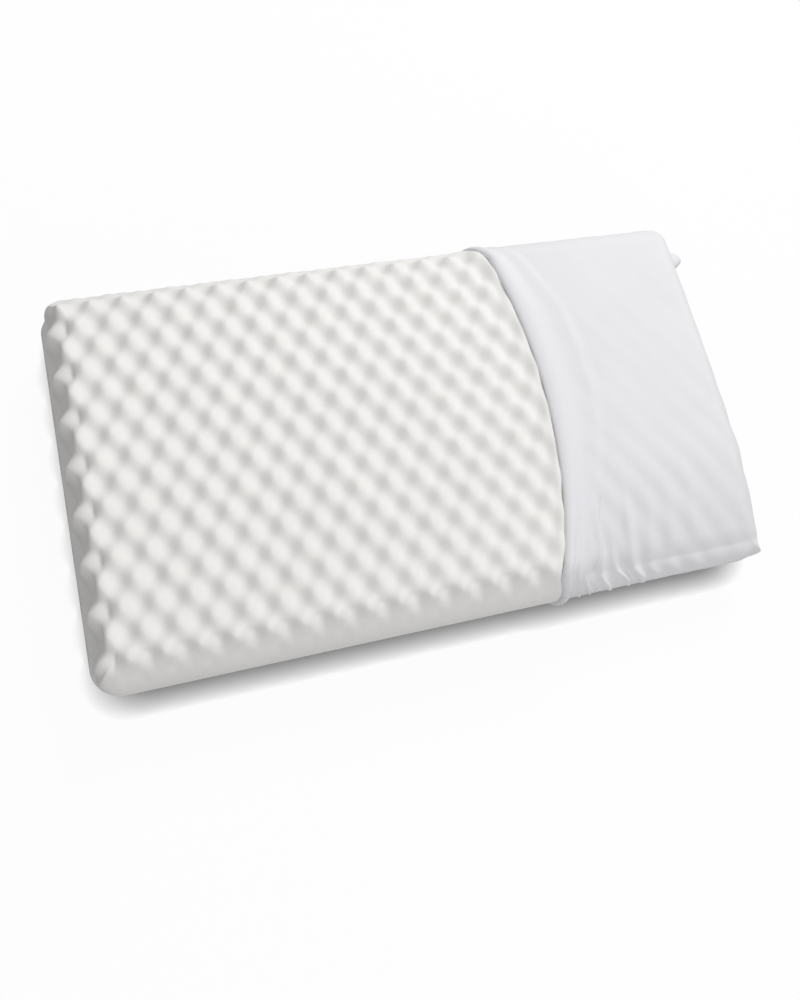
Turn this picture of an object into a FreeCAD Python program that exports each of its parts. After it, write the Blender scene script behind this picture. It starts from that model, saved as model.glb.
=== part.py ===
"""Moulded foam bed pillow with a knitted cover pulled over one end.

Millimetres, +Z up. X runs along the pillow towards the covered end, and Y across it.
The origin is on the floor, under the middle of the whole object.
"""

import FreeCAD, Part
import math
import os

from FreeCAD import Vector

os.makedirs("parts", exist_ok=True)

# ---- driving dimensions: the foam --------------------------------------------------------------------------
FOAM_LENGTH = 700.0          # over the moulded bumps
FOAM_WIDTH = 400.0
FOAM_HEIGHT = 120.0
CORNER_RADIUS = 34.0         # of the four corners, seen from above
EDGE_ROUND = 32.0            # the flat faces stand this far in from the parting line
FLASH_REACH = 0.8            # the thin rim that the mould leaves all round, half way up
FLASH_THICKNESS = 0.8

# ---- driving dimensions: the cover -------------------------------------------------------------------------
COVER_LENGTH = 220.0         # from the fold at its mouth to the end of the foam
CLOTH = 1.2                  # one layer of jersey
CLEARANCE = 0.3              # between the cover and the foam that it slides on
END_EASE = 4.0               # slack between the end of the foam and the closed end of the cover
TURN_IN = 45.0               # the hem that is turned back inside the mouth
ROLL_WIDTH = 20.0            # the soft roll along the fold
ROLL_RISE = 5.0              # it stands this far above the panel, on top and at both flanks
ROLL_NOSE_ABOVE = 3.0        # rounding of its edges on the upper side
ROLL_NOSE_BELOW = 1.0        # and on the underside, where it is pressed flat
EAR_REACH = 8.0              # the bag's corners are cut square, so they stand out past the round foam
EAR_RUN = 30.0               # length of an ear along each side

# ---- driving dimensions: the overlocked seam inside the cover ----------------------------------------------
ALLOWANCE_HEIGHT = 7.0       # the two raw edges, pressed flat against the panel
ALLOWANCE_LAYER = 0.7
ALLOWANCE_GAP = 1.0          # it ends this far from the hem
THREAD = 0.4                 # textured yarn
STITCH_HEIGHT = 5.6
STITCH_PITCH = 4.0
STITCH_SLANT = 1.5           # a stitch leans this far along the seam
STITCH_STAND_OFF = 0.05      # the wall bows by less than this over one stitch

# ---- worked out from them ----------------------------------------------------------------------------------
SQUEEZE = 2 * CLOTH + CLEARANCE          # the cover and its hem press the foam in by this much
FOAM_END = FOAM_LENGTH / 2
FOAM_SIDE = FOAM_WIDTH / 2
PARTING = FOAM_HEIGHT / 2
FOLD_X = FOAM_END - COVER_LENGTH
ROLL_END = FOLD_X + ROLL_WIDTH
HEM_END = FOLD_X + TURN_IN
STEP_X = FOLD_X - CLEARANCE              # the foam swells to its full size just outside the mouth
COVER_END = FOAM_END + END_EASE
ALLOWANCE_START = HEM_END + ALLOWANCE_GAP
CORNER_START = COVER_END - CORNER_RADIUS
ALLOWANCE_INNER = CLOTH + ALLOWANCE_LAYER
STITCH_DEPTH = ALLOWANCE_INNER + STITCH_STAND_OFF + THREAD / 2
MIDDLE_X = (COVER_END + EAR_REACH - FOAM_END - FLASH_REACH) / 2
BIG = 2 * (FOAM_LENGTH + FOAM_WIDTH)     # larger than the whole object


def section(half_width, low, high, depth, place):
    """A face with a flat top and bottom, and half an ellipse of the given depth at each side."""
    middle = (low + high) / 2
    flat = half_width - depth

    def side(sign):
        centre = place(sign * flat, middle)
        crest = place(sign * flat, high)
        bulge = place(sign * half_width, middle)
        return Part.ArcOfEllipse(Part.Ellipse(crest, bulge, centre), 0, math.pi).toShape()

    top = Part.LineSegment(place(-flat, high), place(flat, high)).toShape()
    bottom = Part.LineSegment(place(-flat, low), place(flat, low)).toShape()
    return Part.Face(Part.Wire(Part.__sortEdges__([top, side(1), bottom, side(-1)])))


def soap_bar(inset, end=FOAM_END):
    """The pillow's form, drawn in by inset on every face, with its +X end at end less the inset."""
    low = inset
    high = FOAM_HEIGHT - inset
    depth = EDGE_ROUND - inset
    half_length = (FOAM_END + end) / 2 - inset
    half_width = FOAM_SIDE - inset
    middle = (end - FOAM_END) / 2
    along = section(half_width, low, high, depth, lambda u, v: Vector(-BIG / 2, u, v))
    across = section(half_length, low, high, depth, lambda u, v: Vector(middle + u, -BIG / 2, v))
    plan = plan_slab(half_length, half_width, CORNER_RADIUS - inset, low, high, middle)
    return along.extrude(Vector(BIG, 0, 0)).common(across.extrude(Vector(0, BIG, 0))).common(plan)


def plan_slab(half_length, half_width, radius, low, high, middle=0.0):
    """A flat slab with four round corners."""
    corner = Vector(middle - half_length, -half_width, low)
    slab = Part.makeBox(2 * half_length, 2 * half_width, high - low, corner)
    upright = [e for e in slab.Edges if abs(e.Vertexes[0].Z - e.Vertexes[1].Z) > (high - low) / 2]
    return slab.makeFillet(radius, upright)


def between(x_low, x_high, z_low=-BIG / 2, z_high=BIG / 2, y_low=-BIG / 2, y_high=BIG / 2):
    """A box that keeps only what lies between these limits."""
    size = (x_high - x_low, y_high - y_low, z_high - z_low)
    return Part.makeBox(*size, Vector(x_low, y_low, z_low))


def save(name, shape):
    """Move a piece so that the object's middle is over the origin, and write it."""
    piece = shape.removeSplitter() if len(shape.Solids) == 1 else shape.copy()
    piece.translate(Vector(-MIDDLE_X, 0, 0))
    box = piece.BoundBox
    piece.exportStep(f"parts/{name}.step")
    print(f"{name}: {len(piece.Solids)} solids, valid {piece.isValid()}, {piece.Volume / 1000:.2f} cm3, "
          f"x {box.XMin:.2f}..{box.XMax:.2f} y {box.YMin:.2f}..{box.YMax:.2f} z {box.ZMin:.2f}..{box.ZMax:.2f}")


# ---- the foam ----------------------------------------------------------------------------------------------
def foam_core():
    """One moulding: full size where it is bare, and drawn in where the cover squeezes it."""
    bare = soap_bar(0).common(between(-BIG / 2, STEP_X))
    covered = soap_bar(SQUEEZE).common(between(FOLD_X - TURN_IN, BIG / 2))
    flash = plan_slab(FOAM_END + FLASH_REACH, FOAM_SIDE + FLASH_REACH, CORNER_RADIUS + FLASH_REACH,
                      PARTING - FLASH_THICKNESS / 2, PARTING + FLASH_THICKNESS / 2)
    return bare.fuse(flash.common(between(-BIG / 2, STEP_X))).fuse(covered)


# ---- the cover ---------------------------------------------------------------------------------------------
def shell(outer_inset, inner_inset):
    """The wall of the bag between two insets, closed at the +X end."""
    return soap_bar(outer_inset, COVER_END).cut(soap_bar(inner_inset, COVER_END))


def ear(sign, z_low, z_high):
    """One layer of a square corner, where it stands out past the round corner of the foam."""
    side = sign * FOAM_SIDE
    tip_x = COVER_END + EAR_REACH
    points = [Vector(COVER_END - EAR_RUN, side, z_low), Vector(tip_x, side, z_low),
              Vector(COVER_END, side - sign * EAR_RUN, z_low),
              Vector(COVER_END - EAR_RUN, side - sign * EAR_RUN, z_low)]
    flat = Part.Face(Part.makePolygon(points + points[:1]))
    return flat.extrude(Vector(0, 0, z_high - z_low)).cut(soap_bar(CLOTH, COVER_END))


def panel(z_low, z_high, ear_low, ear_high):
    """Half of the bag, above or below the parting line, with its layer of both ears."""
    half = shell(0, CLOTH).common(between(ROLL_END, BIG / 2, z_low, z_high))
    for sign in (-1, 1):
        half = half.fuse(ear(sign, ear_low, ear_high))
    return half


def hem(z_low, z_high, nose):
    """Half of the turned-in mouth: the soft roll, and the layer that runs back inside from it."""
    roll_outside = section(FOAM_SIDE + ROLL_RISE, 0, FOAM_HEIGHT + ROLL_RISE, EDGE_ROUND + ROLL_RISE,
                           lambda u, v: Vector(FOLD_X, u, v)).extrude(Vector(ROLL_WIDTH, 0, 0))
    half = between(FOLD_X, HEM_END, z_low, z_high)
    roll = roll_outside.cut(soap_bar(2 * CLOTH, COVER_END)).common(half)
    outer_edges = [e for e in roll.Edges if is_roll_edge(e)]
    roll = roll.makeFillet(nose, outer_edges)
    layer = shell(CLOTH, 2 * CLOTH).common(half)
    return roll.fuse(layer)


def is_roll_edge(edge):
    """True on the roll's outer long edges, which lie in its two end planes."""
    box = edge.BoundBox
    at_fold = abs(box.XMin - FOLD_X) < CLEARANCE and abs(box.XMax - FOLD_X) < CLEARANCE
    at_back = abs(box.XMin - ROLL_END) < CLEARANCE and abs(box.XMax - ROLL_END) < CLEARANCE
    if not (at_fold or at_back):
        return False
    reach = max(box.YMax, -box.YMin)
    outside = reach > FOAM_SIDE + CLOTH or box.ZMax > FOAM_HEIGHT + CLOTH or box.ZMax < CLOTH
    along_section = box.DiagonalLength > ROLL_WIDTH
    return outside and along_section


# ---- the seam inside the cover -----------------------------------------------------------------------------
def allowance(part):
    """The two raw edges along one side of the bag, pressed flat inside it."""
    low = PARTING - ALLOWANCE_HEIGHT / 2
    ring = shell(CLOTH, ALLOWANCE_INNER).common(between(ALLOWANCE_START, BIG / 2, low, low + ALLOWANCE_HEIGHT))
    limits = {"front": between(ALLOWANCE_START, CORNER_START, y_high=0),
              "back": between(ALLOWANCE_START, CORNER_START, y_low=0),
              "end": between(CORNER_START, BIG / 2)}
    return ring.common(limits[part])


def stitches(start, end, to_point, direction):
    """A row of slanted overlock stitches between two places along a seam."""
    count = int((end - start - STITCH_SLANT) // STITCH_PITCH) + 1
    first = (start + end - STITCH_SLANT - (count - 1) * STITCH_PITCH) / 2
    lean = direction * STITCH_SLANT + Vector(0, 0, STITCH_HEIGHT)
    row = []
    for number in range(count):
        foot = to_point(first + number * STITCH_PITCH)
        row.append(Part.makeCylinder(THREAD / 2, lean.Length, foot, lean))
    return Part.makeCompound(row)


def side_stitches(sign):
    """The stitches along the front (-1) or the back (1) of the bag."""
    wall = sign * (FOAM_SIDE - STITCH_DEPTH)
    foot_z = PARTING - STITCH_HEIGHT / 2
    return stitches(ALLOWANCE_START + THREAD, CORNER_START - THREAD,
                    lambda x: Vector(x, wall, foot_z), Vector(1, 0, 0))


def end_stitches():
    """The stitches along the closed end, between its two round corners."""
    wall = COVER_END - STITCH_DEPTH
    reach = FOAM_SIDE - CORNER_RADIUS
    foot_z = PARTING - STITCH_HEIGHT / 2
    return stitches(-reach, reach, lambda y: Vector(wall, y, foot_z), Vector(0, 1, 0))


save("foam_core", foam_core())
save("cover_top_panel", panel(PARTING, BIG / 2, PARTING, PARTING + CLOTH))
save("cover_bottom_panel", panel(-BIG / 2, PARTING, PARTING - CLOTH, PARTING))
save("cover_top_hem", hem(PARTING, BIG / 2, ROLL_NOSE_ABOVE))
save("cover_bottom_hem", hem(-BIG / 2, PARTING, ROLL_NOSE_BELOW))
save("front_seam_allowance", allowance("front"))
save("back_seam_allowance", allowance("back"))
save("end_seam_allowance", allowance("end"))
save("front_seam_thread", side_stitches(-1))
save("back_seam_thread", side_stitches(1))
save("end_seam_thread", end_stitches())
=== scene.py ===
# %% [markdown]
# # A moulded foam pillow with its cover half pulled on
#
# The pillow is one block of latex foam with an egg-crate surface, and a bag of knitted jersey covers one end.
# Each step below builds one real thing: the foam, the cover, the yarn of its seam, and then the studio.
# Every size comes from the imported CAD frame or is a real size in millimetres.

# %% Load the frame
import math

import bpy
import numpy as np
from mathutils import Matrix, Vector


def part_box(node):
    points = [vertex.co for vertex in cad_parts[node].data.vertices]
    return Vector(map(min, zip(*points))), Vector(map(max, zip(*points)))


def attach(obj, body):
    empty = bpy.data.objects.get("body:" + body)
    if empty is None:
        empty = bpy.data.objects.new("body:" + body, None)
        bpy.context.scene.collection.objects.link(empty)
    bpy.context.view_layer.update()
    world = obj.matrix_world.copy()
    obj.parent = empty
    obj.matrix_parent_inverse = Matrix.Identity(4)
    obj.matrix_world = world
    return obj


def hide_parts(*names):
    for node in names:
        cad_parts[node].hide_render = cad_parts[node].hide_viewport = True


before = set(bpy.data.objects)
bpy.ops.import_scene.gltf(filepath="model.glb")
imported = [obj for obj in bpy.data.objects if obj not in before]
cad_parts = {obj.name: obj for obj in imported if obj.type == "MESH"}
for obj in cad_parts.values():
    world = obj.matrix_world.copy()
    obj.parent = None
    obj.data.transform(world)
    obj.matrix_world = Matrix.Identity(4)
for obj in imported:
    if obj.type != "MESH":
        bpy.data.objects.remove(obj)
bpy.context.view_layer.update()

MM = 0.001

# %% [markdown]
# ## Measures taken from the frame
#
# The CAD model is the one source of sizes. The foam's box gives its length, width and height, and the hem's
# box gives the fold at the cover's mouth. Anything that the boxes can't say, such as the spacing of the
# bumps, is a named value in millimetres at the place where it is first used.

# %% Measures
foam_low, foam_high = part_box("foam_core")
hem_low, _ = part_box("cover_top_hem")

FLASH = 0.8 * MM                                   # the moulding rim counts in the foam's box
FOAM_START = foam_low.x + FLASH
HALF_WIDTH = foam_high.y - FLASH
HEIGHT = foam_high.z
PARTING = HEIGHT / 2
FOLD = hem_low.x
SQUEEZE = 2.7 * MM                                 # how far the cover presses the foam in
FOAM_STOP = foam_high.x + SQUEEZE
HALF_LENGTH = (FOAM_STOP - FOAM_START) / 2
MIDDLE = (FOAM_STOP + FOAM_START) / 2
END_EASE = 4.0 * MM                                # slack at the closed end of the cover
foam_size = [round(value, 4) for value in (2 * HALF_LENGTH, 2 * HALF_WIDTH, HEIGHT)]
print("foam", foam_size, "fold at", round(FOLD, 4))


# %% Small helpers
def smooth(low, high, value):
    """0 below low, 1 above high, and an even S between them."""
    t = np.clip((value - low) / (high - low), 0.0, 1.0)
    return t * t * (3 - 2 * t)


def hump(centre, width, value):
    """A round bump of height 1, about as wide as width."""
    return np.exp(-((value - centre) / (width / 2)) ** 2)


def ripple(x, y, wave, seed):
    """Soft, uneven waves, about -1 to 1, whose main length is wave. A seed always gives the same ones."""
    rng = np.random.default_rng(seed)
    total = np.zeros_like(x)
    for _ in range(7):
        turn = rng.uniform(0, math.tau)
        length = wave * rng.uniform(0.6, 1.8)
        start = rng.uniform(0, math.tau)
        total += np.sin(math.tau * (x * math.cos(turn) + y * math.sin(turn)) / length + start)
    return total / 3.5


def new_mesh(name, points, faces, smooth_shaded=True):
    """A mesh object from an array of points and a list of faces, linked into the scene."""
    mesh = bpy.data.meshes.new(name)
    mesh.from_pydata(points.tolist(), [], faces)
    mesh.polygons.foreach_set("use_smooth", [smooth_shaded] * len(mesh.polygons))
    mesh.update()
    piece = bpy.data.objects.new(name, mesh)
    bpy.context.scene.collection.objects.link(piece)
    return piece


def grid_faces(rows, columns, flip=False, first=0):
    """Quads between the points of a rows x columns grid, stored row by row from index first."""
    index = first + np.arange(rows * columns).reshape(rows, columns)
    quads = np.stack([index[:-1, :-1], index[1:, :-1], index[1:, 1:], index[:-1, 1:]], axis=-1)
    quads = quads.reshape(-1, 4)
    return (quads[:, ::-1] if flip else quads).tolist()


# %% [markdown]
# ## The pillow's form
#
# A foam pillow of this kind is a soap bar: a flat face above and below, and walls that round over to the
# parting line half way up, where the two halves of the mould met. A sculpted box with a subdivision
# surface would give that form, but the bumps need a fine, even grid. So the form is written as a
# function of two numbers: how far along the pillow, and how far across it. Near the walls the same
# numbers turn into an angle, from 0 on the flat face to a quarter turn at the parting line.

# %% The form as a function
WALL = 32.0 * MM                                   # the flat faces stand this far in from the parting line
CORNER = 28.0 * MM                                 # plan radius of the corners
CROWN_LONG = 4.0 * MM                              # the faces swell a little towards the middle
CROWN_WIDE = 6.0 * MM
DRAWN_DOWN = 22.0 * MM                             # how far the cover pulls its front edge down
WALL_CURVE = 1.625                                 # length of the wall's curve, in mean radii


def wall_angles(depth, step):
    """Even turns down the rounded wall, from just off the flat face to the parting line."""
    mean_radius = (depth + PARTING) / 2
    return np.linspace(0, math.pi / 2, round(WALL_CURVE * mean_radius / step) + 1)[1:]


def half_axis(flat, depth, step):
    """Places from the middle of the face out to the parting line: distance, and share of full height."""
    flat_count = max(2, round(flat / step))
    angle = wall_angles(depth, step)
    distance = np.concatenate([np.linspace(0, flat, flat_count + 1), flat + depth * np.sin(angle)])
    share = np.concatenate([np.ones(flat_count + 1), np.cos(angle)])
    return distance, share


def axis(half, depth, step):
    """Both halves of an axis, from the far negative end to the positive one."""
    distance, share = half_axis(half - depth, depth, step)
    return np.concatenate([-distance[:0:-1], distance]), np.concatenate([share[:0:-1], share])


def round_corners(x, y, half_x, half_y, radius, squareness=None):
    """Moves grid points so that the outline's corners are round. squareness keeps some of them square."""
    a = np.clip((np.abs(x) - (half_x - radius)) / radius, 0, None)
    b = np.clip((np.abs(y) - (half_y - radius)) / radius, 0, None)
    largest = np.maximum(a, b)
    scale = np.where((a > 0) & (b > 0), np.minimum(1, largest / np.maximum(np.hypot(a, b), 1e-9)), 1.0)
    if squareness is not None:
        scale = scale + (1 - scale) * squareness
    new_x = np.where((a > 0) & (b > 0), np.sign(x) * (half_x - radius + radius * a * scale), x)
    new_y = np.where((a > 0) & (b > 0), np.sign(y) * (half_y - radius + radius * b * scale), y)
    return new_x, new_y


def surface_normals(x, y, z):
    """Unit normals of a grid of points, pointing up and out of the upper half."""
    points = np.stack([x, y, z], axis=-1)
    along = np.gradient(points, axis=0)
    across = np.gradient(points, axis=1)
    normal = np.cross(along, across)
    length = np.linalg.norm(normal, axis=-1, keepdims=True)
    return normal / np.maximum(length, 1e-12)


# %% [markdown]
# ## The egg-crate pattern
#
# The mould has rows of round pins that leave pits, and the foam that rises between them is the bumps.
# The pins stand upright, so the pattern is even when it is seen from above, and its cells stretch down
# the end walls. Two cosines multiplied together give such a chequered field of hills and pits, and a
# power of that field sets how wide the pits are.

# %% The pattern as a function
COLUMN = 15.5 * MM                                 # from a hill to the next pit, along the pillow
ROW = 23.4 * MM                                    # from a row to the next, across it
FIRST_COLUMN = 9.0 * MM                            # the first pits, in from the bare end
PIT_DEPTH = 9.5 * MM                              # on the flat faces
WALL_PIT_DEPTH = 11.0 * MM                         # on the end walls
RIDGE_SHARPNESS = 0.90                             # below 1, the pits are wider than the hills between them
WALL_SHARPNESS = 0.55                              # the same on the end walls, where the ridges are thin
WALL_STRETCH = 0.35                                # the outermost pits run on down the wall


def pit_share(x, y):
    """0 on the tip of a hill and 1 at the bottom of a pit."""
    column = (x - FOAM_START - FIRST_COLUMN) / COLUMN
    column = np.where(column < 0, WALL_STRETCH * column, column)
    row = y / ROW + 0.5
    return (1 + np.cos(math.pi * column) * np.cos(math.pi * row)) / 2


# %% [markdown]
# ## The foam
#
# The mesh is a grid on the upper half and a mirrored one below, joined along the parting line. Each point
# starts on the soap-bar form and is pushed in along its normal, by the depth of the pit at that place.
# The long walls were smooth in the mould, so there the pits fade out into short fingers. Where the
# cover sits, the whole foam is pressed in a little, and the bumps are flatter under its mouth.

# %% Build the foam
FOAM_STEP = 1.9 * MM
FINGER_START = 17.0 * MM                           # in from the long walls, where the pits begin to fade
FINGER_END = 3.0 * MM                              # and where the wall is smooth
FINGER_REACH = 5.0 * MM                            # how much further out the ridges between the fingers end
UNDER_PITS = 0.75                                  # the pits below are this share as deep


def mouth_line(y):
    """Where the fold of the cover lies along the pillow: it bows, and its two ends trail back."""
    bow = FOLD + 6.0 * MM - 0.80 * (y - 20 * MM) ** 2
    front = np.clip(-y - HALF_WIDTH + 20 * MM, 0, None) / (20 * MM)
    back = np.clip(y - HALF_WIDTH + 32 * MM, 0, None) / (32 * MM)
    return bow + 13 * MM * front ** 2 - 12 * MM * back


def crown(x, y):
    """How far the face lies below its top. Under the cover, the front edge is drawn down as well."""
    under = smooth(-10 * MM, 60 * MM, x - mouth_line(y))
    near_front = np.clip((-60 * MM - y) / (108 * MM), 0, 1.15)
    swell = CROWN_LONG * ((x - MIDDLE) / HALF_LENGTH) ** 2 + CROWN_WIDE * (y / HALF_WIDTH) ** 2
    return swell + DRAWN_DOWN * under * near_front ** 2


def pit_push(x, y, share_x, edge_y):
    """How far the pits push each point in. edge_y is its distance from the long wall's parting line."""
    on_wall = 1 - smooth(0.55, 0.97, share_x)[:, None] * np.ones_like(x)
    sharpness = RIDGE_SHARPNESS * (1 - on_wall) + WALL_SHARPNESS * on_wall
    pits = np.clip(pit_share(x, y), 0, 1) ** sharpness
    depth = PIT_DEPTH * (1 - on_wall) + WALL_PIT_DEPTH * on_wall
    off_long_wall = smooth(FINGER_END, FINGER_START, edge_y + FINGER_REACH * (1 - pits))
    off_parting = smooth(0.0, 0.12, share_x)[:, None]
    to_end = np.clip((np.abs(x - MIDDLE) - HALF_LENGTH) / CORNER + 1, 0, 1)
    to_side = np.clip((np.abs(y) - HALF_WIDTH) / CORNER + 1, 0, 1)
    off_corner = 1 - smooth(0.1, 0.7, np.minimum(to_end, to_side))
    uneven = 1 + 0.05 * ripple(x, y, 60 * MM, 3)
    return depth * pits * off_long_wall * off_parting * off_corner * uneven


def press_of_cover(push, x, y, share, covered):
    """The push, changed by the cover: flatter bumps and a lip of foam at its mouth, and a press under it."""
    from_mouth = x - mouth_line(y)
    push = push * (1 - 0.75 * hump(2 * MM, 26 * MM, from_mouth))
    push = push - 1.0 * MM * hump(-3 * MM, 7 * MM, from_mouth) * smooth(0.2, 0.8, share)
    return push + SQUEEZE * covered


def foam_half(upper):
    """Points of the foam's upper or lower half, as three grids."""
    along, share_x = axis(HALF_LENGTH, WALL, FOAM_STEP)
    across, share_y = axis(HALF_WIDTH, WALL, FOAM_STEP)
    x, y = np.meshgrid(along, across, indexing="ij")
    share = np.minimum(share_x[:, None], share_y[None, :])
    edge_y = HALF_WIDTH - np.abs(y)
    x, y = round_corners(x, y, HALF_LENGTH, HALF_WIDTH, CORNER)
    z = (PARTING - (crown(x + MIDDLE, y) if upper else 0)) * share
    normal = surface_normals(x, y, z)
    x = x + MIDDLE
    push = pit_push(x, y, share_x, edge_y) * (1 if upper else UNDER_PITS)
    covered = smooth(-2 * MM, 8 * MM, x - mouth_line(y))
    push = press_of_cover(push, x, y, share, covered)
    push = push - 0.25 * MM * ripple(x, y, 35 * MM, 4) * smooth(0.0, 0.3, share)
    x, y, z = (value - normal[..., k] * push for k, value in enumerate((x, y, z)))
    rim = np.zeros_like(z)
    rim[0, :] = rim[-1, :] = rim[:, 0] = rim[:, -1] = 1
    bare_rim = rim * (1 - covered)
    x = x + bare_rim * FLASH * np.sign(x - MIDDLE) * (share_x < 0.01)[:, None]
    y = y + bare_rim * FLASH * np.sign(y) * (share_y < 0.01)[None, :]
    z = np.where(rim > 0, 0, z)
    if not upper:
        z = np.maximum(-z, -PARTING)
    return x, y, np.maximum(PARTING + z, 0)


def build_foam():
    """The whole block as one closed mesh."""
    upper, lower = foam_half(True), foam_half(False)
    rows, columns = upper[0].shape
    points = np.concatenate([np.stack(half, axis=-1).reshape(-1, 3) for half in (upper, lower)])
    border = np.zeros((rows, columns), bool)
    border[0, :] = border[-1, :] = border[:, 0] = border[:, -1] = True
    same = np.arange(rows * columns)
    lower_index = np.where(border.ravel(), same, same + rows * columns)
    faces = grid_faces(rows, columns)
    under = np.array(grid_faces(rows, columns, flip=True))
    faces += lower_index[under].tolist()
    used = np.unique(np.array(faces))
    renumber = np.zeros(len(points), int)
    renumber[used] = np.arange(len(used))
    return new_mesh("foam_block", points[used], renumber[np.array(faces)].tolist())


foam = build_foam()
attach(foam, "core")
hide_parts("foam_core")
print("foam", len(foam.data.vertices), "points")

# %% [markdown]
# ## The cover
#
# The cover is a bag of thin jersey, cut square and sewn round three sides, so its front corner stands out
# past the foam's round one, and spare cloth folds out behind the back one. Its mouth is turned in, which
# makes a soft roll along the fold.
# A cloth simulation could find such folds, but the roll and the few gathers at the front have known
# places, so the sheet is laid on the pillow's form and its folds are pushed out along the normals.

# %% The lie of the cloth
COVER_STEP = 1.9 * MM
CLOTH = 1.0 * MM
COVER_HALF = HALF_LENGTH + END_EASE / 2            # the cover's form is longer by its ease at one end
COVER_MIDDLE = MIDDLE + END_EASE / 2
SAG_SMOOTH, SAG_SLACK = 0.25 * MM, 1.1 * MM        # how far the jersey sinks between two rows of bumps
FLAP_REACH = 28.0 * MM                             # a fold of spare cloth stands out near the back corner
FLAP_PLACE = HALF_WIDTH - 33.0 * MM
FLAP_WIDTH = 30.0 * MM
EAR_SIZE = 22.0 * MM                               # how much of the front corner is square

# The path of the cloth across the fold, in mm: how far in from the fold, and how high above the panel.
INNER_PATH = [(45, -1.5), (36, -1.5), (27, -1.5), (19, -1.5), (12, -1.5), (7, -1.6), (3.6, -1.9),
              (1.6, -2.0), (0.5, -1.5)]
OUTER_PATH = [(0.0, -0.4), (0.0, 0.9), (0.4, 1.9), (1.1, 2.9), (2.3, 3.7), (4.0, 4.5), (6.0, 4.9),
              (8.2, 4.9), (10.4, 4.5), (12.6, 3.7), (14.8, 2.7), (17.0, 1.6), (19.0, 0.8), (21.0, 0.2),
              (23.0, -0.2), (25.0, -0.3), (27.0, -0.2), (29.0, 0.0)]


def arc_length(across, share):
    """Distance over the surface from the front parting line, at each place across the pillow."""
    steps = np.hypot(np.diff(across), np.diff(share) * PARTING)
    return np.concatenate([[0.0], np.cumsum(steps)])


def roll_width(arc):
    """How much wider or narrower the roll is than its path says: narrow at both ends of the mouth."""
    places = np.array([0, 40, 90, 150, 240, 340, 400, 440, 490]) * MM
    return np.interp(arc, places, [0.60, 0.60, 0.75, 1.05, 1.40, 1.35, 0.95, 0.65, 0.55])


def pucker(from_fold, arc, line, width, height):
    """A ridge in the cloth along a line of (arc, from_fold) points in mm, with a hollow on its far side."""
    line = np.array(line, float) * MM
    centre = np.interp(arc, line[:, 0], line[:, 1])
    aside = (from_fold - centre) / (width / 2)
    top = line[-1, 0]
    grow = 1 - smooth(top - 60 * MM, top, arc)
    grow = grow * (0.25 + 0.75 * smooth(0.0, 14 * MM, arc))
    return height * grow * (np.exp(-aside ** 2) - 0.45 * np.exp(-(aside - 1.9) ** 2 / 1.6))


# Puckers at the front of the mouth: points (arc, from_fold), width and height, all in mm.
PUCKERS = [
    ([(0, 22), (17, 21), (59, 18), (106, 15.5), (127, 12)], 5, 4.18),
    ([(0, 36), (14, 34), (50, 29), (87, 21), (106, 16)], 5, 3.61),
    ([(0, 60), (19, 57), (43, 53), (63, 49), (83, 44), (104, 37), (125, 33.5), (141, 31)], 8, 3.8),
    ([(30, 80), (41, 77), (65, 65), (82, 58), (101, 56)], 7, 3.42),
    ([(30, 97), (41, 94), (73, 83), (99, 75), (125, 71), (150, 66)], 10, 3.04),
    ([(30, 112), (50, 108), (74, 105), (104, 100), (139, 95)], 12, 2.09),
    ([(24, 138), (60, 132), (110, 122), (150, 112)], 14, 1.52),
    ([(20, 166), (70, 158), (120, 146), (170, 130)], 16, 1.14),
]


def cover_rows(mouth, arc):
    """Each row's places along the pillow, its height over the panel, and its share of full height."""
    width = roll_width(arc)
    flat_end = COVER_MIDDLE + COVER_HALF - WALL
    rows = [(mouth + inward * MM, height * MM, 1.0) for inward, height in INNER_PATH]
    rows += [(mouth + inward * MM * width, height * MM, 1.0) for inward, height in OUTER_PATH]
    panel_start = rows[-1][0]
    panel_count = round((flat_end - FOLD - 30 * MM) / COVER_STEP)
    for part in np.linspace(0, 1, panel_count + 1)[1:]:
        rows.append((panel_start * (1 - part) + flat_end * part, 0.0, 1.0))
    for turn in wall_angles(WALL, COVER_STEP):
        rows.append((np.full_like(mouth, flat_end + WALL * math.sin(turn)), 0.0, math.cos(turn)))
    places, lift, share_x = (np.array(column) for column in zip(*rows))
    return places, lift[:, None], share_x[:, None]


def hem_lift(lift, arc, share_y, upper):
    """How high the turned-in mouth stands: lower towards the back, and lowest against the floor."""
    push = lift * np.ones_like(arc)[None, :]
    back_end = smooth(400 * MM, 470 * MM, arc)[None, :]
    push = push * (1 - 0.7 * back_end * (push > 0))
    if not upper:
        low_side = smooth(0.1, 0.6, share_y)[None, :]
        push = push * (1 - 0.9 * low_side * (push > 0))
    return push


def jersey_sag(x, y, arc, from_fold, share):
    """How far the jersey sinks between the bumps. It is tight at the back and slacker at the front."""
    on_panel = smooth(20 * MM, 48 * MM, from_fold)
    slack = SAG_SMOOTH + (SAG_SLACK - SAG_SMOOTH) * (1 - smooth(120 * MM, 300 * MM, arc))
    stripes = (1 + np.cos(math.pi * ((x - FOAM_START - FIRST_COLUMN) / COLUMN + y / ROW + 0.5))) / 2
    sunk = 0.75 * stripes * (1 + 0.5 * ripple(x, y, 110 * MM, 14)) + 0.25 * pit_share(x, y)
    waves = 0.3 * MM * ripple(x, y, 90 * MM, 13)
    return on_panel * (slack * sunk * smooth(0.0, 0.4, share) - waves)


def second_fold(x, y, arc, from_fold):
    """A low fold beside the roll, where the turned-in cloth ends."""
    beside = from_fold / roll_width(arc)
    ridge = hump(36 * MM, 9 * MM, beside) * 0.9 * MM - hump(45 * MM, 9 * MM, beside) * 0.35 * MM
    return ridge * (1 + 0.5 * ripple(x, y, 160 * MM, 11)) * smooth(60 * MM, 140 * MM, arc)


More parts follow.
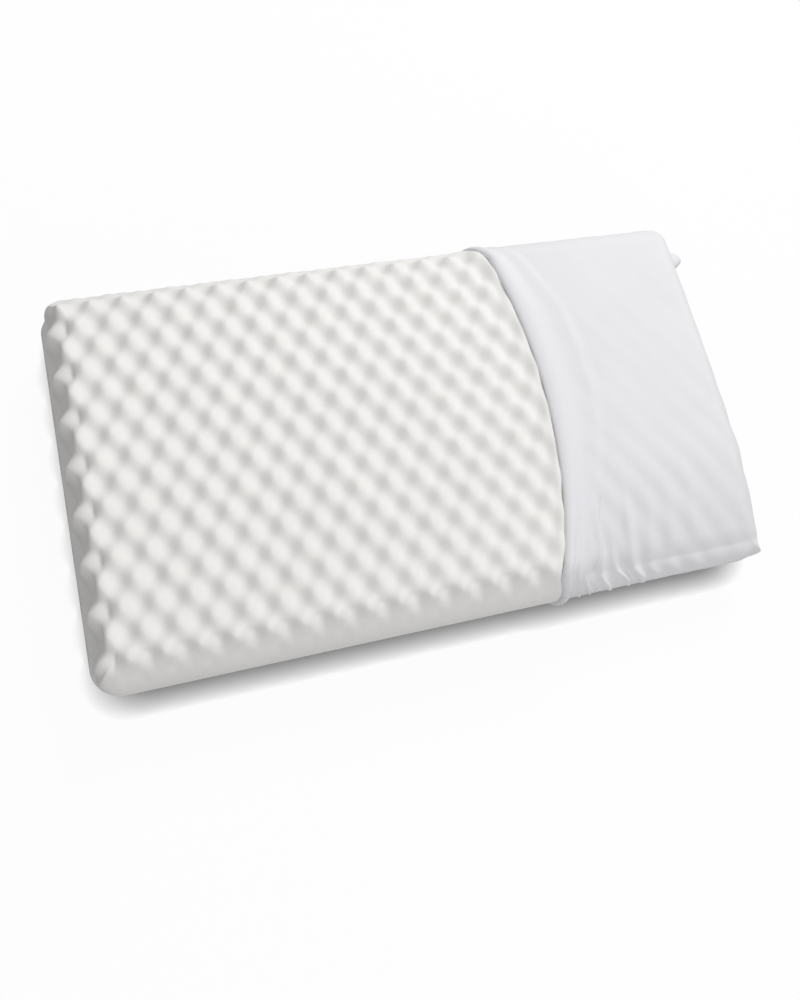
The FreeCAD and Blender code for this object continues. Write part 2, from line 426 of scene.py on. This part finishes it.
def cover_half(upper):
    """Points of the upper or lower sheet, as three grids, from the hem's inner edge to the closed end."""
    across, share_y = axis(HALF_WIDTH, WALL, COVER_STEP)
    arc = arc_length(across, share_y)
    places, lift, share_x = cover_rows(mouth_line(across), arc)
    x = places - COVER_MIDDLE
    y = np.broadcast_to(across, x.shape).copy()
    share = np.minimum(share_x, share_y[None, :])
    ear = smooth(COVER_HALF - EAR_SIZE, COVER_HALF, x) * smooth(HALF_WIDTH - EAR_SIZE, HALF_WIDTH, -y)
    x, y = round_corners(x, y, COVER_HALF, HALF_WIDTH, CORNER, squareness=0.55 * ear)
    z = (PARTING - (crown(x + COVER_MIDDLE, y) if upper else 0)) * share ** (1 - 0.35 * ear)
    flap = hump(FLAP_PLACE, FLAP_WIDTH, y) * (1 - smooth(0.0, 0.30, share_x)) * (share_x < 0.999)
    x = x + FLAP_REACH * flap
    normal = surface_normals(x, y, z)
    hem_rows = len(INNER_PATH) + len(OUTER_PATH)
    normal[:hem_rows] = normal[hem_rows]
    x = x + COVER_MIDDLE
    from_fold = x - mouth_line(y)
    outer = np.arange(len(lift))[:, None] >= len(INNER_PATH)
    push = hem_lift(lift, arc, share_y, upper)
    arc = np.broadcast_to(arc, x.shape)
    push = push - jersey_sag(x, y, arc, from_fold, share) + outer * second_fold(x, y, arc, from_fold)
    if upper:
        for line, ridge_width, height in PUCKERS:
            push = push + pucker(from_fold, arc, line, ridge_width * MM, height * MM)
    x, y, z = (value + normal[..., k] * push for k, value in enumerate((x, y, z)))
    rim = np.zeros(z.shape, bool)
    rim[-1, :] = rim[:, 0] = rim[:, -1] = True
    z = np.where(rim, 0, z)
    if not upper:
        z = np.maximum(-z, -PARTING)
    return x, y, np.maximum(PARTING + z, 0)


def build_cover(name, upper):
    """One sheet of jersey, with its thickness inside the surface that shows."""
    x, y, z = cover_half(upper)
    points = np.stack([x, y, z], axis=-1).reshape(-1, 3)
    piece = new_mesh(name, points, grid_faces(*x.shape, flip=not upper))
    thickness = piece.modifiers.new("cloth", "SOLIDIFY")
    thickness.thickness = CLOTH
    thickness.offset = -1
    return piece


cover_top = build_cover("cover_top_sheet", True)
cover_bottom = build_cover("cover_bottom_sheet", False)
stand_ins = ((cover_top, ("cover_top_panel", "cover_top_hem")),
             (cover_bottom, ("cover_bottom_panel", "cover_bottom_hem")))
for sheet, nodes in stand_ins:
    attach(sheet, "cover")
    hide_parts(*nodes)
    print(sheet.name, len(sheet.data.vertices), "points")

# %% [markdown]
# ## Materials
#
# Colours are written as sRGB hex and turned to linear here. One function adds a shader node with its
# settings and its links, so a material reads as the list of what it is made of.


# %% Material tools
def linear(hex_colour):
    """An sRGB colour such as "F2EFEA" as linear red, green, blue and alpha."""
    parts = [int(hex_colour[k:k + 2], 16) / 255 for k in (0, 2, 4)]
    return [c / 12.92 if c <= 0.04045 else ((c + 0.055) / 1.055) ** 2.4 for c in parts] + [1.0]


def add(tree, kind, inputs=None, **settings):
    """Adds a node of a kind and sets its properties and inputs. An output socket as a value is a link."""
    node = tree.nodes.new(kind)
    for name, value in settings.items():
        setattr(node, name, value)
    for name, value in (inputs or {}).items():
        if isinstance(value, bpy.types.NodeSocket):
            tree.links.new(value, node.inputs[name])
        else:
            node.inputs[name].default_value = value
    return node


def blank_material(name):
    """A material with an empty node tree and its output node."""
    material = bpy.data.materials.new(name)
    material.use_nodes = True
    material.node_tree.nodes.clear()
    return material, material.node_tree, material.node_tree.nodes.new("ShaderNodeOutputMaterial")


# %% [markdown]
# ## Latex foam
#
# Moulded latex foam is a warm white rubber full of tiny open cells. It is matte, light goes a little way
# into it, and its skin has a fine grain. The pores are about 0.3 mm, finer than the render shows, so they
# are drawn at about 1 mm.

# %% Foam material
def latex_foam():
    material, tree, output = blank_material("moulded latex foam")
    place = add(tree, "ShaderNodeTexCoord")
    spot = place.outputs["Object"]
    grain = add(tree, "ShaderNodeTexNoise", {
        "Vector": spot, "Scale": 900.0, "Detail": 3.0, "Roughness": 0.6})
    cloud = add(tree, "ShaderNodeTexNoise", {"Vector": spot, "Scale": 22.0, "Detail": 3.0})
    tone = add(tree, "ShaderNodeMix", {"Factor": cloud.outputs["Fac"]}, data_type="RGBA")
    tone.inputs[6].default_value = linear("EFEDEB")
    tone.inputs[7].default_value = linear("F4F3F1")
    bump = add(tree, "ShaderNodeBump", {"Height": grain.outputs["Fac"], "Strength": 0.25, "Distance": 0.0004})
    surface = add(tree, "ShaderNodeBsdfPrincipled", {
        "Base Color": tone.outputs[2], "Roughness": 0.85, "IOR": 1.45, "Specular IOR Level": 0.25,
        "Subsurface Weight": 0.12, "Subsurface Radius": (0.006, 0.005, 0.004), "Subsurface Scale": 1.0,
        "Normal": bump.outputs["Normal"]})
    tree.links.new(surface.outputs["BSDF"], output.inputs["Surface"])
    return material


foam.data.materials.append(latex_foam())
print("foam material set")

# %% [markdown]
# ## Cotton jersey
#
# Single jersey is a knit of fine yarn: columns of small loops, about 1.2 mm apart here so that they just
# show. The cotton is brightened, so its white is cooler than the foam's, and loose fibres give it a
# soft sheen at a low angle.

# %% Jersey material
def cotton_jersey():
    material, tree, output = blank_material("white cotton jersey")
    place = add(tree, "ShaderNodeTexCoord")
    spot = place.outputs["Object"]
    fuzz = add(tree, "ShaderNodeTexNoise", {"Vector": spot, "Scale": 1400.0, "Detail": 2.0})
    wales = add(tree, "ShaderNodeTexWave", {
        "Vector": spot, "Scale": 260.0, "Distortion": 1.5, "Detail": 1.0},
        wave_type="BANDS", bands_direction="Y")
    knit = add(tree, "ShaderNodeMath", {0: wales.outputs["Fac"], 1: fuzz.outputs["Fac"]}, operation="ADD")
    cloud = add(tree, "ShaderNodeTexNoise", {"Vector": spot, "Scale": 15.0, "Detail": 2.0})
    tone = add(tree, "ShaderNodeMix", {"Factor": cloud.outputs["Fac"]}, data_type="RGBA")
    tone.inputs[6].default_value = linear("E9E9EC")
    tone.inputs[7].default_value = linear("EDEDEF")
    bump = add(tree, "ShaderNodeBump", {
        "Height": knit.outputs["Value"], "Strength": 0.12, "Distance": 0.0003})
    surface = add(tree, "ShaderNodeBsdfPrincipled", {
        "Base Color": tone.outputs[2], "Roughness": 0.9, "IOR": 1.5, "Specular IOR Level": 0.2,
        "Sheen Weight": 0.15, "Sheen Roughness": 0.5, "Normal": bump.outputs["Normal"]})
    tree.links.new(surface.outputs["BSDF"], output.inputs["Surface"])
    return material


jersey = cotton_jersey()
for sheet in (cover_top, cover_bottom):
    sheet.data.materials.append(jersey)
print("jersey material set on both sheets")

# %% [markdown]
# ## Seam yarn and raw edges
#
# The seam inside the bag is overlocked: two raw edges of jersey with a row of slanted stitches. The CAD
# solids already have the right shape, so they stay and take a finish of their own.

# %% Seam finish
def spun_yarn():
    material, tree, output = blank_material("textured overlock yarn")
    place = add(tree, "ShaderNodeTexCoord")
    twist = add(tree, "ShaderNodeTexWave", {
        "Vector": place.outputs["Object"], "Scale": 700.0, "Distortion": 2.0},
        wave_type="BANDS", bands_direction="DIAGONAL")
    bump = add(tree, "ShaderNodeBump", {"Height": twist.outputs["Fac"], "Strength": 0.3, "Distance": 0.0001})
    surface = add(tree, "ShaderNodeBsdfPrincipled", {
        "Base Color": linear("F4F4F7"), "Roughness": 0.7, "Sheen Weight": 0.2,
        "Normal": bump.outputs["Normal"]})
    tree.links.new(surface.outputs["BSDF"], output.inputs["Surface"])
    return material


yarn = spun_yarn()
for side in ("front", "back", "end"):
    for ending, material in (("seam_allowance", jersey), ("seam_thread", yarn)):
        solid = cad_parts[f"{side}_{ending}"]
        solid.data.materials.clear()
        solid.data.materials.append(material)
print("seam pieces finished")

# %% [markdown]
# ## Studio
#
# The pillow lies on a white sweep. The main soft light comes from behind and to the right, square to one
# set of diagonals of the bumps, a weaker one comes from the front, and a pale sky fills the shadows. The
# floor shows white to the camera and keeps a little of the real shadow. Near the pillow its white glow is
# darkened by ambient occlusion, which is a painted contact shadow.

# %% Floor and light
def white_floor():
    material, tree, output = blank_material("white studio floor")
    path = add(tree, "ShaderNodeLightPath")
    shaded = add(tree, "ShaderNodeBsdfDiffuse", {"Color": (0.36, 0.36, 0.36, 1.0)})
    # painted contact shadow: ambient occlusion darkens the floor's white glow near the pillow, seen by the
    # camera only
    painted_contact_shadow = add(tree, "ShaderNodeAmbientOcclusion", {"Distance": 0.036}, samples=16)
    painted_shadow_deepened = add(tree, "ShaderNodeMath", {0: painted_contact_shadow.outputs["AO"], 1: 2.2}, operation="POWER")
    painted_shadow_strength = add(tree, "ShaderNodeMath", {0: painted_shadow_deepened.outputs["Value"], 1: 1.08}, operation="MULTIPLY")
    glow_with_painted_shadow = add(tree, "ShaderNodeEmission", {"Color": (1, 1, 1, 1), "Strength": painted_shadow_strength.outputs["Value"]})
    seen = add(tree, "ShaderNodeMixShader", {
        0: 0.12, 1: glow_with_painted_shadow.outputs["Emission"], 2: shaded.outputs["BSDF"]})
    both = add(tree, "ShaderNodeMixShader", {
        0: path.outputs["Is Camera Ray"], 1: shaded.outputs["BSDF"], 2: seen.outputs["Shader"]})
    tree.links.new(both.outputs["Shader"], output.inputs["Surface"])
    return material


half_floor = 6.0
turns = ((-1, -1), (1, -1), (1, 1), (-1, 1))
floor_points = np.array([(half_floor * a, half_floor * b, 0) for a, b in turns])
floor = new_mesh("floor", floor_points, [(0, 1, 2, 3)], smooth_shaded=False)
floor.location.z = -0.2 * MM                       # just clear of the pillow's lowest points
floor.data.materials.append(white_floor())


def sky(strength):
    world = bpy.data.worlds.new("pale sky")
    bpy.context.scene.world = world
    world.use_nodes = True
    tree = world.node_tree
    tree.nodes.clear()
    path = add(tree, "ShaderNodeLightPath")
    white = add(tree, "ShaderNodeMath", {
        0: path.outputs["Is Camera Ray"], 1: path.outputs["Is Glossy Ray"]}, operation="ADD")
    clear = add(tree, "ShaderNodeMath", {
        0: white.outputs["Value"], 1: path.outputs["Is Transmission Ray"]}, operation="ADD", use_clamp=True)
    lit = add(tree, "ShaderNodeBackground", {"Color": (1, 1, 1, 1), "Strength": strength})
    seen = add(tree, "ShaderNodeBackground", {"Color": (1, 1, 1, 1), "Strength": 1.0})
    both = add(tree, "ShaderNodeMixShader", {
        0: clear.outputs["Value"], 1: lit.outputs["Background"], 2: seen.outputs["Background"]})
    output = tree.nodes.new("ShaderNodeOutputWorld")
    tree.links.new(both.outputs["Shader"], output.inputs["Surface"])


def softbox(name, azimuth, elevation, distance, size, power):
    """A square area lamp that looks at the pillow. Azimuth 0 is in front, and 90 is at its +X end."""
    a, e = math.radians(azimuth), math.radians(elevation)
    back = Vector((math.sin(a) * math.cos(e), -math.cos(a) * math.cos(e), math.sin(e)))
    lamp = bpy.data.lights.new(name, "AREA")
    lamp.size = size
    lamp.energy = power
    holder = bpy.data.objects.new(name, lamp)
    bpy.context.scene.collection.objects.link(holder)
    holder.location = Vector((0, 0, HEIGHT)) + back * distance
    holder.rotation_euler = back.to_track_quat("Z", "Y").to_euler()
    return holder


sky(0.42)
softbox("key_softbox", azimuth=147, elevation=45, distance=2.2, size=0.7, power=27)
softbox("fill_softbox", azimuth=5, elevation=28, distance=2.4, size=0.9, power=14)
print("studio ready")

# %% [markdown]
# ## Camera
#
# The camera looks down from the front left, rolled a little, from about a metre away.

# %% Camera
AZIMUTH, ELEVATION, ROLL = -42.77, 70.40, 30.75    # degrees
DISTANCE = 0.9832
SHIFT_RIGHT, SHIFT_UP = -0.0018, 0.0459            # how far the pillow's middle is from the view's
LENS = 31.53
PILLOW_MIDDLE = Vector((-8.6 * MM, -2 * MM, 0))    # the point that the view turns about


def place_camera():
    a, e, r = (math.radians(v) for v in (AZIMUTH, ELEVATION, ROLL))
    back = Vector((math.sin(a) * math.cos(e), -math.cos(a) * math.cos(e), math.sin(e)))
    right = Vector((math.cos(a), math.sin(a), 0))
    up = back.cross(right)
    turned_right = right * math.cos(r) + up * math.sin(r)
    turned_up = up * math.cos(r) - right * math.sin(r)
    camera = bpy.data.objects.new("camera", bpy.data.cameras.new("camera"))
    bpy.context.scene.collection.objects.link(camera)
    turn = Matrix((turned_right, turned_up, back)).transposed().to_4x4()
    shift = turned_right * SHIFT_RIGHT + turned_up * SHIFT_UP
    camera.matrix_world = Matrix.Translation(PILLOW_MIDDLE + back * DISTANCE - shift) @ turn
    camera.data.lens = LENS
    camera.data.sensor_width = 36
    camera.data.clip_start = 0.01
    bpy.context.scene.camera = camera
    return camera


camera = place_camera()
bpy.context.scene.view_settings.view_transform = "Standard"
